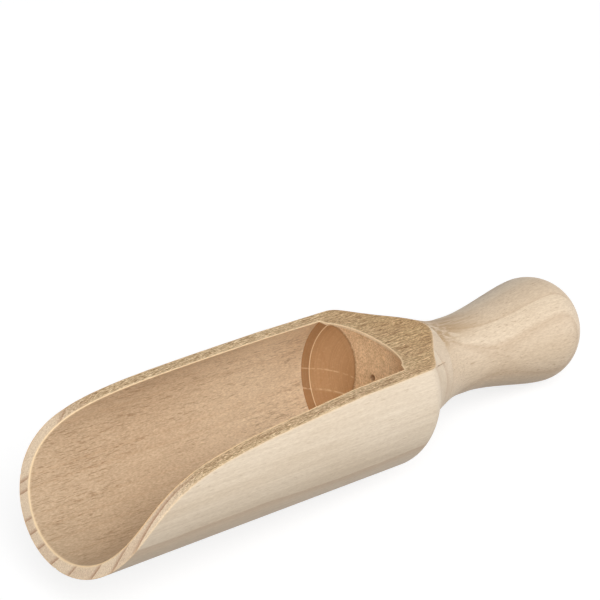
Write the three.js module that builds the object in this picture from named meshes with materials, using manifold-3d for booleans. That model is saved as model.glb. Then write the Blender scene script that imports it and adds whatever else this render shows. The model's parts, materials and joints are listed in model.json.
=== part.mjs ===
// Turned wooden scoop: a bored bowl with a sawn mouth, a turned handle, and the dowel that joins them.
// Millimetres, +Z up. Positions along the scoop's own axis count from the tip of the lip, and heights
// of the saw cut count from that axis. The whole scoop is then tipped back to stand as it rests on a
// table, on the heel of its bowl and the bulb of its handle.

import * as THREE from 'three';
import { mergeVertices } from 'three/addons/utils/BufferGeometryUtils.js';
import Module from 'manifold-3d';

const wasm = await Module();
wasm.setup();

// Bowl: a cylinder that rounds over at the heel into a hollow shoulder
const BOWL_DIAMETER = 56;
const BOWL_STRAIGHT_LENGTH = 124;
const SHOULDER_LENGTH = 22.5;
const SHOULDER_END_DIAMETER = 31.7;
const SHOULDER_HEEL_PULL = 6.4;
const SHOULDER_END_PULL = 16.4;

// Bore: the wall it leaves, the solid back behind it, the ridge where two cuts meet, and the dished end
const WALL = 3.8;
const BACK_WALL = 21.5;
const RIDGE_BAND = 1.7;
const RIDGE_DROP = 2.1;
const DISH_DEPTH = 6.3;
const DISH_DROP = 14.7;
const DISH_RIDGE_PULL = 3;
const DISH_RIDGE_SLOPE = 0.5;
const DISH_FLAT_PULL = 5.7;

// The pit that the drill's point left in the dished end, a little over the axis
const PIT_DIAMETER = 2.4;
const PIT_DEPTH = 1;
const PIT_RISE = 1.4;

// Saw cut of the mouth: a curve from the lip's tip to a straight run that rises gently to the back
const MOUTH_LENGTH = 93.3;
const MOUTH_HEIGHT = 14.5;
const LAND_RISE = 0.0275;
const LIP_PULL_LENGTH = 9.6;
const LIP_PULL_HEIGHT = 10.8;
const MOUTH_PULL_LENGTH = 18.1;
const MOUTH_PULL_HEIGHT = 9.5;

// Handle: a cove that carries the bowl's shoulder on, a plain neck, a swell, and a rounded end
const COVE_LENGTH = 13.5;
const COVE_FRONT_PULL = 4.1;
const COVE_NECK_PULL = 5.1;
const NECK_DIAMETER = 26.1;
const NECK_LENGTH = 5;
const SWELL_LENGTH = 38.5;
const BULB_DIAMETER = 36.6;
const BULB_CAP_LENGTH = 17;
const SWELL_NECK_PULL = 11.8;
const SWELL_BULB_PULL = 7.5;

// Dowel and the sockets that hold it
const DOWEL_DIAMETER = 10;
const DOWEL_CHAMFER = 1;
const DOWEL_CLEARANCE = 0.3;
const SOCKET_END_ROOM = 1;
const SOCKET_WEB = 6.5;

// The joint's hairline gap, and how steeply the outside falls where it crosses it
const JOINT_GAP = 0.3;
const JOINT_SLOPE = 0.34;

// The woods: a bored and sawn bowl, a smooth handle and a rough dowel
const BOWL_WOOD = { color: 0xd9b68e, roughness: 0.62 };
const HANDLE_WOOD = { color: 0xe4cba9, roughness: 0.55 };
const DOWEL_WOOD = { color: 0xd6b98f, roughness: 0.7 };

// Facets
const SIDES = 48;
const DOWEL_SIDES = 24;
const CURVE_STEPS = 8;
const MOUTH_STEPS = 24;

// How far a cutting solid runs past the wood that it cuts
const OVERCUT = 4;

// Sizes that follow from the driving ones
const bowlRadius = BOWL_DIAMETER / 2;
const bowlLength = BOWL_STRAIGHT_LENGTH + SHOULDER_LENGTH;
const boreRadius = bowlRadius - WALL;
const boreDepth = bowlLength - BACK_WALL;
const shoulderEndRadius = SHOULDER_END_DIAMETER / 2;
const coveFrontRadius = shoulderEndRadius - JOINT_GAP * JOINT_SLOPE;
const neckRadius = NECK_DIAMETER / 2;
const bulbRadius = BULB_DIAMETER / 2;
const neckStart = bowlLength + JOINT_GAP;
const coveEnd = bowlLength + COVE_LENGTH;
const swellStart = coveEnd + NECK_LENGTH;
const bulbMiddle = swellStart + SWELL_LENGTH;
const dowelRadius = DOWEL_DIAMETER / 2;
const socketRadius = dowelRadius + DOWEL_CLEARANCE;
const socketDepth = BACK_WALL - SOCKET_WEB;
const bowlSocketEnd = bowlLength - socketDepth;
const handleSocketEnd = neckStart + socketDepth;

// A point of a turned profile: its place along the axis and its radius
const at = (along, radius) => new THREE.Vector2(radius, along);

// Points of a curve between two profile points, falling by a slope at its start and at its end
function sweep(start, end, startPull, endPull, startSlope = 0, endSlope = 0) {
  const curve = new THREE.CubicBezierCurve(
    start,
    at(start.y + startPull, start.x - startPull * startSlope),
    at(end.y - endPull, end.x + endPull * endSlope),
    end
  );
  return curve.getPoints(CURVE_STEPS);
}

// The bowl's outside from heel to back face
const shoulderProfile = sweep(
  at(BOWL_STRAIGHT_LENGTH, bowlRadius),
  at(bowlLength, shoulderEndRadius),
  SHOULDER_HEEL_PULL,
  SHOULDER_END_PULL,
  0,
  JOINT_SLOPE
);

// The handle's outside from its joint face to its end
function handleOutline() {
  const cove = sweep(
    at(neckStart, coveFrontRadius),
    at(coveEnd, neckRadius),
    COVE_FRONT_PULL,
    COVE_NECK_PULL,
    JOINT_SLOPE
  );
  const swell = sweep(
    at(swellStart, neckRadius),
    at(bulbMiddle, bulbRadius),
    SWELL_NECK_PULL,
    SWELL_BULB_PULL
  );
  const cap = [];
  for (let step = 1; step < CURVE_STEPS; step += 1) {
    const turn = (step / CURVE_STEPS) * (Math.PI / 2);
    cap.push(at(bulbMiddle + BULB_CAP_LENGTH * Math.sin(turn), bulbRadius * Math.cos(turn)));
  }
  return [...cove, ...swell, ...cap, at(bulbMiddle + BULB_CAP_LENGTH, 0)];
}
const handleProfile = handleOutline();

// A turned solid about the X axis, with one facet lying level underneath
function turned(profile, sides = SIDES) {
  const geometry = new THREE.LatheGeometry(profile, sides, Math.PI / sides);
  return geometry.rotateZ(-Math.PI / 2);
}

// Only positions and triangles, with shared corners merged and the slivers at the axis dropped
function welded(geometry) {
  geometry.deleteAttribute('normal');
  geometry.deleteAttribute('uv');
  const merged = mergeVertices(geometry);
  const corners = merged.index.array;
  const kept = [];
  for (let i = 0; i < corners.length; i += 3) {
    const [a, b, c] = corners.slice(i, i + 3);
    if (a !== b && b !== c && c !== a) {
      kept.push(a, b, c);
    }
  }
  merged.setIndex(kept);
  return merged;
}

function toSolid(geometry) {
  const closed = welded(geometry);
  return new wasm.Manifold(new wasm.Mesh({
    numProp: 3,
    vertProperties: new Float32Array(closed.attributes.position.array),
    triVerts: new Uint32Array(closed.index.array)
  }));
}

function toGeometry(solid) {
  const mesh = solid.getMesh();
  const geometry = new THREE.BufferGeometry();
  geometry.setAttribute('position', new THREE.BufferAttribute(new Float32Array(mesh.vertProperties), 3));
  geometry.setIndex(Array.from(mesh.triVerts));
  return geometry;
}

// The turned blank of the bowl, with the dowel's socket in its back face
function bowlBlank() {
  return turned([
    at(-OVERCUT, 0),
    at(-OVERCUT, bowlRadius),
    ...shoulderProfile,
    at(bowlLength, socketRadius),
    at(bowlSocketEnd, socketRadius),
    at(bowlSocketEnd, 0)
  ]);
}

// The bore: straight wall, a narrow band up to the ridge, and the dish that runs into a flat middle
function bore() {
  const ridgeAt = boreDepth - DISH_DEPTH;
  const ridgeRadius = boreRadius - RIDGE_DROP;
  const flatRadius = boreRadius - DISH_DROP;
  const dish = new THREE.CubicBezierCurve(
    at(ridgeAt, ridgeRadius),
    at(ridgeAt + DISH_RIDGE_PULL, ridgeRadius - DISH_RIDGE_PULL * DISH_RIDGE_SLOPE),
    at(boreDepth, flatRadius + DISH_FLAT_PULL),
    at(boreDepth, flatRadius)
  );
  return turned([
    at(-2 * OVERCUT, 0),
    at(-2 * OVERCUT, boreRadius),
    at(ridgeAt - RIDGE_BAND, boreRadius),
    ...dish.getPoints(CURVE_STEPS),
    at(boreDepth, 0)
  ]);
}

function pit() {
  const point = turned([
    at(boreDepth - PIT_DEPTH, 0),
    at(boreDepth - PIT_DEPTH, PIT_DIAMETER),
    at(boreDepth + PIT_DEPTH, 0)
  ], DOWEL_SIDES);
  return point.translate(0, 0, PIT_RISE);
}

// The wood that the saw takes away in front of the lip and above the mouth and the land
function mouthWaste() {
  const landEnd = bowlLength + OVERCUT;
  const landEndHeight = MOUTH_HEIGHT + LAND_RISE * (landEnd - MOUTH_LENGTH);
  const top = bowlRadius + OVERCUT;
  const runOut = OVERCUT / (LIP_PULL_HEIGHT + bowlRadius);
  const outline = new THREE.Shape();
  outline.moveTo(-2 * OVERCUT, -bowlRadius - OVERCUT);
  outline.lineTo(-LIP_PULL_LENGTH * runOut, -bowlRadius - OVERCUT);
  outline.lineTo(0, -bowlRadius);
  outline.bezierCurveTo(
    LIP_PULL_LENGTH, LIP_PULL_HEIGHT,
    MOUTH_PULL_LENGTH, MOUTH_PULL_HEIGHT,
    MOUTH_LENGTH, MOUTH_HEIGHT
  );
  outline.lineTo(landEnd, landEndHeight);
  outline.lineTo(landEnd, top);
  outline.lineTo(-2 * OVERCUT, top);
  outline.closePath();
  const width = 2 * top;
  const geometry = new THREE.ExtrudeGeometry(outline, {
    depth: width,
    bevelEnabled: false,
    curveSegments: MOUTH_STEPS
  });
  return geometry.rotateX(Math.PI / 2).translate(0, width / 2, 0);
}

function bowlGeometry() {
  const bored = toSolid(bowlBlank()).subtract(toSolid(bore()));
  const hollowed = bored.subtract(toSolid(pit()));
  return toGeometry(hollowed.subtract(toSolid(mouthWaste())));
}

function handleGeometry() {
  return welded(turned([
    at(handleSocketEnd, 0),
    at(handleSocketEnd, socketRadius),
    at(neckStart, socketRadius),
    ...handleProfile
  ]));
}

function dowelGeometry() {
  const start = bowlSocketEnd + SOCKET_END_ROOM;
  const end = handleSocketEnd - SOCKET_END_ROOM;
  return welded(turned([
    at(start, 0),
    at(start, dowelRadius - DOWEL_CHAMFER),
    at(start + DOWEL_CHAMFER, dowelRadius),
    at(end - DOWEL_CHAMFER, dowelRadius),
    at(end, dowelRadius - DOWEL_CHAMFER),
    at(end, 0)
  ], DOWEL_SIDES));
}

function piece(name, geometry, wood) {
  const material = new THREE.MeshStandardMaterial({ ...wood, metalness: 0, flatShading: true });
  const mesh = new THREE.Mesh(geometry, material);
  mesh.name = name;
  return mesh;
}

// The tilt at rest: the line under the heel and the bulb, which no point of either profile goes below
function restTilt() {
  const fallToHandle = (heel) => Math.min(
    ...handleProfile.map((point) => Math.atan2(heel.x - point.x, point.y - heel.y))
  );
  return Math.max(...shoulderProfile.map(fallToHandle));
}

const scoop = new THREE.Group();
scoop.add(piece('bowl', bowlGeometry(), BOWL_WOOD));
scoop.add(piece('handle', handleGeometry(), HANDLE_WOOD));
scoop.add(piece('joint_dowel', dowelGeometry(), DOWEL_WOOD));
scoop.rotation.y = restTilt();

// The origin lies under the middle of the scoop's box, on the table
const box = new THREE.Box3().setFromObject(scoop, true);
const middle = box.getCenter(new THREE.Vector3());
scoop.position.set(-middle.x, -middle.y, -box.min.z);

const part = new THREE.Group();
part.add(scoop);

export default part;
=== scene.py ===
"""Turned wooden scoop, dressed for the camera.

Metres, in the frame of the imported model. Each piece is shaped in the scoop's own frame, where x runs
along the turning axis from the tip of the lip, y goes across the bowl and z goes up out of the mouth.
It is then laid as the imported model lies, tipped back on the heel of its bowl and the bulb of its handle.
"""

from __future__ import annotations

import json
import logging
import math
from dataclasses import asdict, dataclass
from enum import Enum, IntEnum
from typing import TypeAlias

import bmesh
import bpy
import numpy as np
from mathutils import Matrix, Vector, kdtree, noise

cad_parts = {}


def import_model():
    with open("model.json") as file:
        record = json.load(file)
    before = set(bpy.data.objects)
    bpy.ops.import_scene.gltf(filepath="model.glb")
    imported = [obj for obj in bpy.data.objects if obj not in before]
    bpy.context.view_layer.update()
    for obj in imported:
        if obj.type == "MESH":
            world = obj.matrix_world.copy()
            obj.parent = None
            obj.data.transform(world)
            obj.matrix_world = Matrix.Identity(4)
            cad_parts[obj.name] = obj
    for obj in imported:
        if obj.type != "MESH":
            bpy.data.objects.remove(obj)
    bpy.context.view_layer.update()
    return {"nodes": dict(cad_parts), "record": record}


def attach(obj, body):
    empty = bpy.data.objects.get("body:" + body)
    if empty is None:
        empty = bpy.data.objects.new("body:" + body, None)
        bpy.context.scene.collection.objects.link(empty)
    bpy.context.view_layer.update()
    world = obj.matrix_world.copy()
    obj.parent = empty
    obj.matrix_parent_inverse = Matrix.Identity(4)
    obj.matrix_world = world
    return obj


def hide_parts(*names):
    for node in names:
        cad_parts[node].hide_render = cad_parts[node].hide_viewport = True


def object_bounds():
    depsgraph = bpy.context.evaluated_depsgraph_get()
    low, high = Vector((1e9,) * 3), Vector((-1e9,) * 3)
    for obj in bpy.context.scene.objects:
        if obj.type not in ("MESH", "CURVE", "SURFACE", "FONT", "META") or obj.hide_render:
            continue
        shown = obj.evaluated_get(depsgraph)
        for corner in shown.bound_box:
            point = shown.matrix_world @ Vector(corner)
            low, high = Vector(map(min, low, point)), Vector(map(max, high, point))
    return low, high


log = logging.getLogger("wooden_scoop")

BODY = "root"

# Place along the axis of the point that the record gives on the land
LAND_STATION = 0.132

# How steeply the outside falls where the joint crosses it
JOINT_SLOPE = 0.34

# Corners closer than this are one, and edges sharper than this stay crisp
MERGE_GAP = 2e-6
SHARP_ANGLE = math.radians(38.0)

# Shortest vector that has a direction
TINY = 1e-12

# Dark marks in the wood are warmer than pale ones: swing of red, green and blue
WARM_SWING = (0.82, 1.0, 1.2)
WOOD_SPECULAR = 0.3

# Middle of every noise
MIDDLE = 0.5

Colour: TypeAlias = tuple[float, float, float, float]
Feed: TypeAlias = "float | int | bool | tuple | Vector | Wire | bpy.types.Material"
Sizes: TypeAlias = "dict[str, Wire]"


def tone(red: int, green: int, blue: int) -> Colour:
    """Turns a colour as seen on a screen into the linear one that a shader takes.

    Args:
        red: Red from 0 to 255.
        green: Green from 0 to 255.
        blue: Blue from 0 to 255.

    Returns:
        The linear colour, opaque.
    """

    def linear(level: int) -> float:
        """Undoes the screen's standard curve for one channel."""
        share = level / 255.0
        return share / 12.92 if share <= 0.04045 else ((share + 0.055) / 1.055) ** 2.4

    return (linear(red), linear(green), linear(blue), 1.0)


def bezier(corners: list[tuple[float, float]], steps: int) -> np.ndarray:
    """Samples a cubic curve in a plane.

    Args:
        corners: Start, the two pulls and the end.
        steps: Number of equal steps of the curve's own parameter.

    Returns:
        The points from start to end, one row each.
    """
    t = np.linspace(0.0, 1.0, steps + 1)[:, None]
    start, pull, draw, end = (np.array(corner) for corner in corners)
    rest = 1.0 - t
    return rest**3 * start + 3 * rest**2 * t * pull + 3 * rest * t**2 * draw + t**3 * end


def unit(vectors: np.ndarray) -> np.ndarray:
    """Scales each row to length one."""
    return vectors / np.maximum(np.linalg.norm(vectors, axis=-1, keepdims=True), TINY)


def run_lengths(points: np.ndarray) -> np.ndarray:
    """Adds up the steps along a chain of points, from nought at the first."""
    steps = np.linalg.norm(np.diff(points, axis=0), axis=1)
    return np.concatenate(([0.0], np.cumsum(steps)))


class Zone(IntEnum):
    """The tool that left a face of the bowl; the value is its material slot."""

    BORED = 0
    BORE_END = 1
    SAWN = 2
    TURNED = 3


class Side(Enum):
    """The two halves of the rim; the value turns one into the other."""

    FAR = 1.0
    NEAR = -1.0


class Profile:
    """A chain of points in a half plane through the axis, read by the length run along it."""

    def __init__(self, points: np.ndarray) -> None:
        """Measures the chain.

        Args:
            points: Place along the axis and radius, one row each.
        """
        self.points = np.asarray(points, float)
        self.run = run_lengths(self.points)

    def at(self, run: np.ndarray) -> tuple[np.ndarray, np.ndarray]:
        """Gives the place along the axis and the radius at each run."""
        return np.interp(run, self.run, self.points[:, 0]), np.interp(run, self.run, self.points[:, 1])

    def heading(self, run: np.ndarray) -> np.ndarray:
        """Gives the direction of the chain at each run, along the axis and out from it."""
        piece = np.clip(np.searchsorted(self.run, run, side="right") - 1, 0, len(self.points) - 2)
        return unit(self.points[piece + 1] - self.points[piece])


@dataclass(frozen=True)
class SawnMouth:
    """The saw's path seen from the side: a curve up from the lip's tip, then a straight rise to the back.

    Attributes:
        drop: How far the lip's tip lies under the axis.
        length: Where the curve ends and the straight rise starts.
        height: Height over the axis there.
        land_rise: Rise of the straight run for each metre along.
        lip_pull: Pull of the curve where it leaves the lip.
        mouth_pull: Pull of the curve where it joins the straight run.
        reach: Where the path ends, behind the bowl.
        steps: Steps of the curve.
        probe: Distance over which the slope of the path is measured.
    """

    drop: float = 0.028
    length: float = 0.0933
    height: float = 0.0145
    land_rise: float = 0.0275
    lip_pull: tuple[float, float] = (0.0096, 0.0108)
    mouth_pull: tuple[float, float] = (0.0181, 0.0095)
    reach: float = 0.160
    steps: int = 1500
    probe: float = 2e-5

    def height_at(self, along: np.ndarray) -> np.ndarray:
        """Gives the height of the cut over the axis at each place.

        Args:
            along: Places along the axis.

        Returns:
            The heights.
        """
        corners = [(0.0, -self.drop), self.lip_pull, self.mouth_pull, (self.length, self.height)]
        back = (self.reach, self.height + self.land_rise * (self.reach - self.length))
        path = np.vstack([bezier(corners, self.steps), [back]])
        return np.interp(along, path[:, 0], path[:, 1])

    def normal_at(self, along: np.ndarray) -> np.ndarray:
        """Gives the unit upward normal of the cut at each place."""
        rise = (self.height_at(along + self.probe) - self.height_at(along)) / self.probe
        return unit(np.stack([-rise, np.zeros_like(rise), np.ones_like(rise)], axis=-1))


@dataclass(frozen=True)
class ScoopPlace:
    """Where the scoop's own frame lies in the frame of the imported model.

    Attributes:
        tilt: How far the axis falls from the lip to the bulb, in radians.
        origin: The point of the axis over the lip's tip.
    """

    tilt: float
    origin: Vector

    @classmethod
    def from_land(cls, record: dict, station: float, mouth: SawnMouth) -> ScoopPlace:
        """Reads the place from the flat face that the record gives on the land.

        Args:
            record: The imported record.
            station: Place along the axis of the record's point.
            mouth: The cut that the point lies on.

        Returns:
            The place of the scoop's frame.
        """
        mount = record["mounts"][0]
        tilt = math.atan2(mount["axis"][0], mount["axis"][2]) + math.atan(mouth.land_rise)
        point = Vector((station, 0.0, float(mouth.height_at(np.array([station]))[0])))
        return cls(tilt, Vector(mount["pos_m"]) - Matrix.Rotation(tilt, 3, "Y") @ point)

    @property
    def matrix(self) -> Matrix:
        """The move from the scoop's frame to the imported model's."""
        return Matrix.Translation(self.origin) @ Matrix.Rotation(self.tilt, 4, "Y")


class Wire:
    """An output of a node that can be reckoned with: each sum or product adds a math node."""

    def __init__(self, desk: NodeDesk, socket: bpy.types.NodeSocket) -> None:
        """Takes hold of one output in the desk's tree."""
        self.desk, self.socket = desk, socket

    def __add__(self, other: Feed) -> Wire:
        """Adds."""
        return self.desk.math("ADD", self, other)

    def __sub__(self, other: Feed) -> Wire:
        """Takes away."""
        return self.desk.math("SUBTRACT", self, other)

    def __rsub__(self, other: Feed) -> Wire:
        """Is taken away."""
        return self.desk.math("SUBTRACT", other, self)

    def __mul__(self, other: Feed) -> Wire:
        """Multiplies."""
        return self.desk.math("MULTIPLY", self, other)

    def __truediv__(self, other: Feed) -> Wire:
        """Divides."""
        return self.desk.math("DIVIDE", self, other)

    def __abs__(self) -> Wire:
        """Drops the sign."""
        return self.desk.math("ABSOLUTE", self)


class NodeDesk:
    """Adds and wires the nodes of one tree."""

    def __init__(self, tree: bpy.types.NodeTree) -> None:
        """Starts with an empty tree."""
        self.tree = tree
        tree.nodes.clear()

    def add(self, kind: str, feeds: dict | None = None, **settings: object) -> bpy.types.Node:
        """Adds one node.

        Args:
            kind: Blender's name for the node.
            feeds: What goes into its sockets, by name or number.
            **settings: Properties of the node.

        Returns:
            The node.
        """
        node = self.tree.nodes.new(kind)
        for name, value in settings.items():
            setattr(node, name, value)
        for socket, value in (feeds or {}).items():
            self.feed(self.inlet(node, socket), value)
        return node

    def out(self, kind: str, feeds: dict | None = None, output: str | int = 0, **settings: object) -> Wire:
        """Adds one node and takes hold of one of its outputs."""
        return Wire(self, self.add(kind, feeds, **settings).outputs[output])

    @staticmethod
    def inlet(node: bpy.types.Node, socket: str | int) -> bpy.types.NodeSocket:
        """Finds an input by number, or by name among those in use.

        Args:
            node: The node.
            socket: Name or number of the input.

        Returns:
            The input.
        """
        if isinstance(socket, int):
            return node.inputs[socket]
        return next(inlet for inlet in node.inputs if inlet.name == socket and inlet.enabled)

    def feed(self, inlet: bpy.types.NodeSocket, value: Feed) -> None:
        """Links a wire to an input, or sets the input's value.

        Args:
            inlet: The input.
            value: A wire to link, or a plain value.
        """
        if isinstance(value, Wire):
            self.tree.links.new(value.socket, inlet)
        else:
            inlet.default_value = value

    def math(self, operation: str, *terms: Feed) -> Wire:
        """Adds a math node and gives its result."""
        return self.out("ShaderNodeMath", dict(enumerate(terms)), operation=operation)

    def vector_math(self, operation: str, *terms: Feed) -> Wire:
        """Adds a math node for vectors and gives its result."""
        return self.out("ShaderNodeVectorMath", dict(enumerate(terms)), operation=operation)

    def vector(self, along: Feed, across: Feed, up: Feed) -> Wire:
        """Joins three numbers into a vector."""
        return self.out("ShaderNodeCombineXYZ", {0: along, 1: across, 2: up})

    def split(self, vector: Feed) -> list[Wire]:
        """Takes a vector apart."""
        return [Wire(self, part) for part in self.add("ShaderNodeSeparateXYZ", {0: vector}).outputs]

    def attribute(self, name: str) -> Wire:
        """Reads a number that the mesh holds."""
        return self.out("ShaderNodeAttribute", None, "Fac", attribute_name=name)

    def distance(self, across: Wire, up: Wire) -> Wire:
        """Works out the length of a step across and up."""
        return self.math("SQRT", across * across + up * up)

    def ramp(self, value: Feed, low: Feed, high: Feed, top: Feed = 1.0) -> Wire:
        """Eases a value from nought at low to top at high."""
        feeds = {"Value": value, "From Min": low, "From Max": high, "To Min": 0.0, "To Max": top}
        return self.out("ShaderNodeMapRange", feeds, interpolation_type="SMOOTHSTEP")

    def shaded(self, colour: Feed, value: Wire, contrast: Feed) -> Wire:
        """Lightens and darkens a colour by a noise.

        Args:
            colour: The colour.
            value: The noise, with its middle at a half.
            contrast: How far the noise moves the colour.

        Returns:
            The shaded colour.
        """
        level = self.vector_math("MULTIPLY_ADD", (value - MIDDLE) * contrast, WARM_SWING, (1.0, 1.0, 1.0))
        return self.vector_math("MULTIPLY", colour, level)

    def tint(self, share: Feed, base: Feed, over: Feed) -> Wire:
        """Lays one colour over another by a share."""
        feeds = {0: share, 6: base, 7: over}
        return self.out("ShaderNodeMix", feeds, 2, data_type="RGBA", clamp_factor=True)


@dataclass(frozen=True)
class Figure:
    """A fine noise of pale and dark marks.

    Attributes:
        scale: Marks for each metre along the grain, across it and up.
        contrast: How far the marks lighten and darken the wood.
        detail: Number of finer layers.
        rough: Strength of those layers.
    """

    scale: tuple[float, float, float]
    contrast: float = 1.0
    detail: float = 1.0
    rough: float = 0.5

    def read(self, desk: NodeDesk, point: Wire) -> Wire:
        """Reads the figure at a point, with its middle at a half."""
        feeds = {"Vector": desk.vector_math("MULTIPLY", point, self.scale), "Scale": 1.0}
        return desk.out("ShaderNodeTexNoise", {**feeds, "Detail": self.detail, "Roughness": self.rough})


def fibres(along: float, across: float, contrast: float) -> Figure:
    """Makes a figure of marks that run along the grain."""
    return Figure((along, across, across), contrast, detail=2.0, rough=0.55)


GRAIN_WANDER = Figure((22.0, 60.0, 60.0), detail=2.0)
BROAD_DRIFT = Figure((10.0, 62.0, 62.0), detail=2.0)
DASH_MARKS = Figure((300.0, 3000.0, 3000.0), rough=0.4)
DASH_PATCHES = Figure((26.0, 130.0, 130.0))
SAW_SWING = Figure((190.0, 260.0, 260.0))
DRILL_CIRCLES = Figure((1700.0, 0.0, 0.0))
DRILL_DOTS = Figure((1200.0, 1200.0, 1200.0))
RAY_BREAKS = Figure((900.0, 500.0, 900.0))

# Colour of the painted highlight on the eased edges and on the drill's ridge
ARRIS_HIGHLIGHT_TONE = tone(255, 227, 186)

# How far the long figure moves the roughness, and how deep a dash is beside a speck
ROUGH_SWING = 0.16
DASH_DEPTH = 0.5

# Noise between which the wood drifts from pale to deep, and how that mixes with a drift along the axis,
# which in the bore is painted light
DRIFT_RANGE = (0.3, 0.7)
PALING_DRIFT = 0.12
PALING_SHARE = 0.9

# Half length over which a face comes to cut across the fibres
END_SOFT = 0.009

# Noise at which a dash comes in on a bare face, how far a full cover lowers it, and its soft edge
DASH_EDGE = 0.72
DASH_EDGE_SPAN = 0.26
DASH_SOFT = 0.1
PATCH_RANGE = (0.3, 0.56)


@dataclass(frozen=True)
class GrainField:
    """How the tree grew in one piece of wood, in the scoop's own frame.

    Attributes:
        pith_across: Place of the tree's heart across the scoop, at the lip's tip.
        pith_up: Height of the tree's heart over the axis.
        pith_slope: How far the heart moves across for each metre along.
        rings: Distances from the heart of the dark rings.
        late: Width over which the wood darkens towards a ring.
        wander: How far the grain wanders from straight.
        shift: Moves all the fine figure, so that no two pieces show the same.
        ring_edge: Width of a ring's sharp side.
        late_power: How late the wood darkens before a ring.
    """

    pith_across: float
    pith_up: float
    pith_slope: float
    rings: tuple[float, ...]
    late: float
    wander: float
    shift: tuple[float, float, float]
    ring_edge: float = 0.0002
    late_power: float = 3.0

    def heart_distance(self, desk: NodeDesk, point: Wire) -> Wire:
        """Works out how far a point lies from the tree's heart, along grain that wanders.

        Args:
            desk: The tree of nodes.
            point: The point in the scoop's own frame.

        Returns:
            The distance.
        """
        along, across, up = desk.split(point)
        wander = (GRAIN_WANDER.read(desk, point) - MIDDLE) * self.wander
        aside = across - (along * self.pith_slope + self.pith_across)
        return desk.distance(aside, up - self.pith_up) + wander

    def ring_marks(self, desk: NodeDesk, radius: Wire) -> tuple[Wire, Wire]:
        """Darkens each year's wood towards its ring, where it stops short.

        Args:
            desk: The tree of nodes.
            radius: Distance from the tree's heart.

        Returns:
            The darkening from 0 to 1, and a mark on every second year's wood.
        """
        dark, second = 0.0, 0.0
        for ring in self.rings:
            passed = desk.ramp(radius, ring, ring + self.ring_edge)
            second = abs(second - passed)
            late = desk.ramp(radius, ring - self.late, ring)
            dark = desk.math("MAXIMUM", dark, late * (1.0 - passed))
        return desk.math("POWER", dark, self.late_power), second


@dataclass(frozen=True)
class HeartWood:
    """The browner wood within one ring of the tree's heart; under a top, as on the handle, the darker
    underside is partly painted shade.

    Attributes:
        edge: Distance from the heart where it ends.
        share: How much browner it is.
        line_share: How strongly a dark line shows at its edge.
        top: Height over the axis under which it is browner.
        calm: How far the specks fade in it.
        edge_soft: Half width of the edge.
        top_soft: Depth over which the brown comes in under its top.
        line_span: Distances from the edge where the line starts and where it is full.
    """

    edge: float
    share: float
    line_share: float
    # top: Height over the axis under which it is browner; on the handle this darker underside is partly
    # painted shade.
    top: float = 1.0
    calm: float = 0.0
    edge_soft: float = 0.0004
    top_soft: float = 0.002
    line_span: tuple[float, float] = (0.0008, 0.0001)

    def browned(
        self, desk: NodeDesk, colour: Wire, radius: Wire, up: Wire, finish: BeechFinish
    ) -> tuple[Wire, Wire]:
        """Browns the wood near the tree's heart.

        Args:
            desk: The tree of nodes.
            colour: Colour of the wood.
            radius: Distance from the tree's heart.
            up: Height over the axis.
            finish: The finish, for its colours.

        Returns:
            The browned colour, and the share of the specks that is left.
        """
        inner = desk.ramp(radius, self.edge + self.edge_soft, self.edge - self.edge_soft)
        # Browner only under its top: on the handle's underside this is partly painted shade
        under = desk.ramp(up, self.top, self.top - self.top_soft, self.share)
        colour = desk.tint(inner * under, colour, finish.ring)
        line = desk.ramp(abs(radius - self.edge), *self.line_span, self.line_share)
        return desk.tint(line, colour, finish.dash), inner * -self.calm + 1.0


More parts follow.
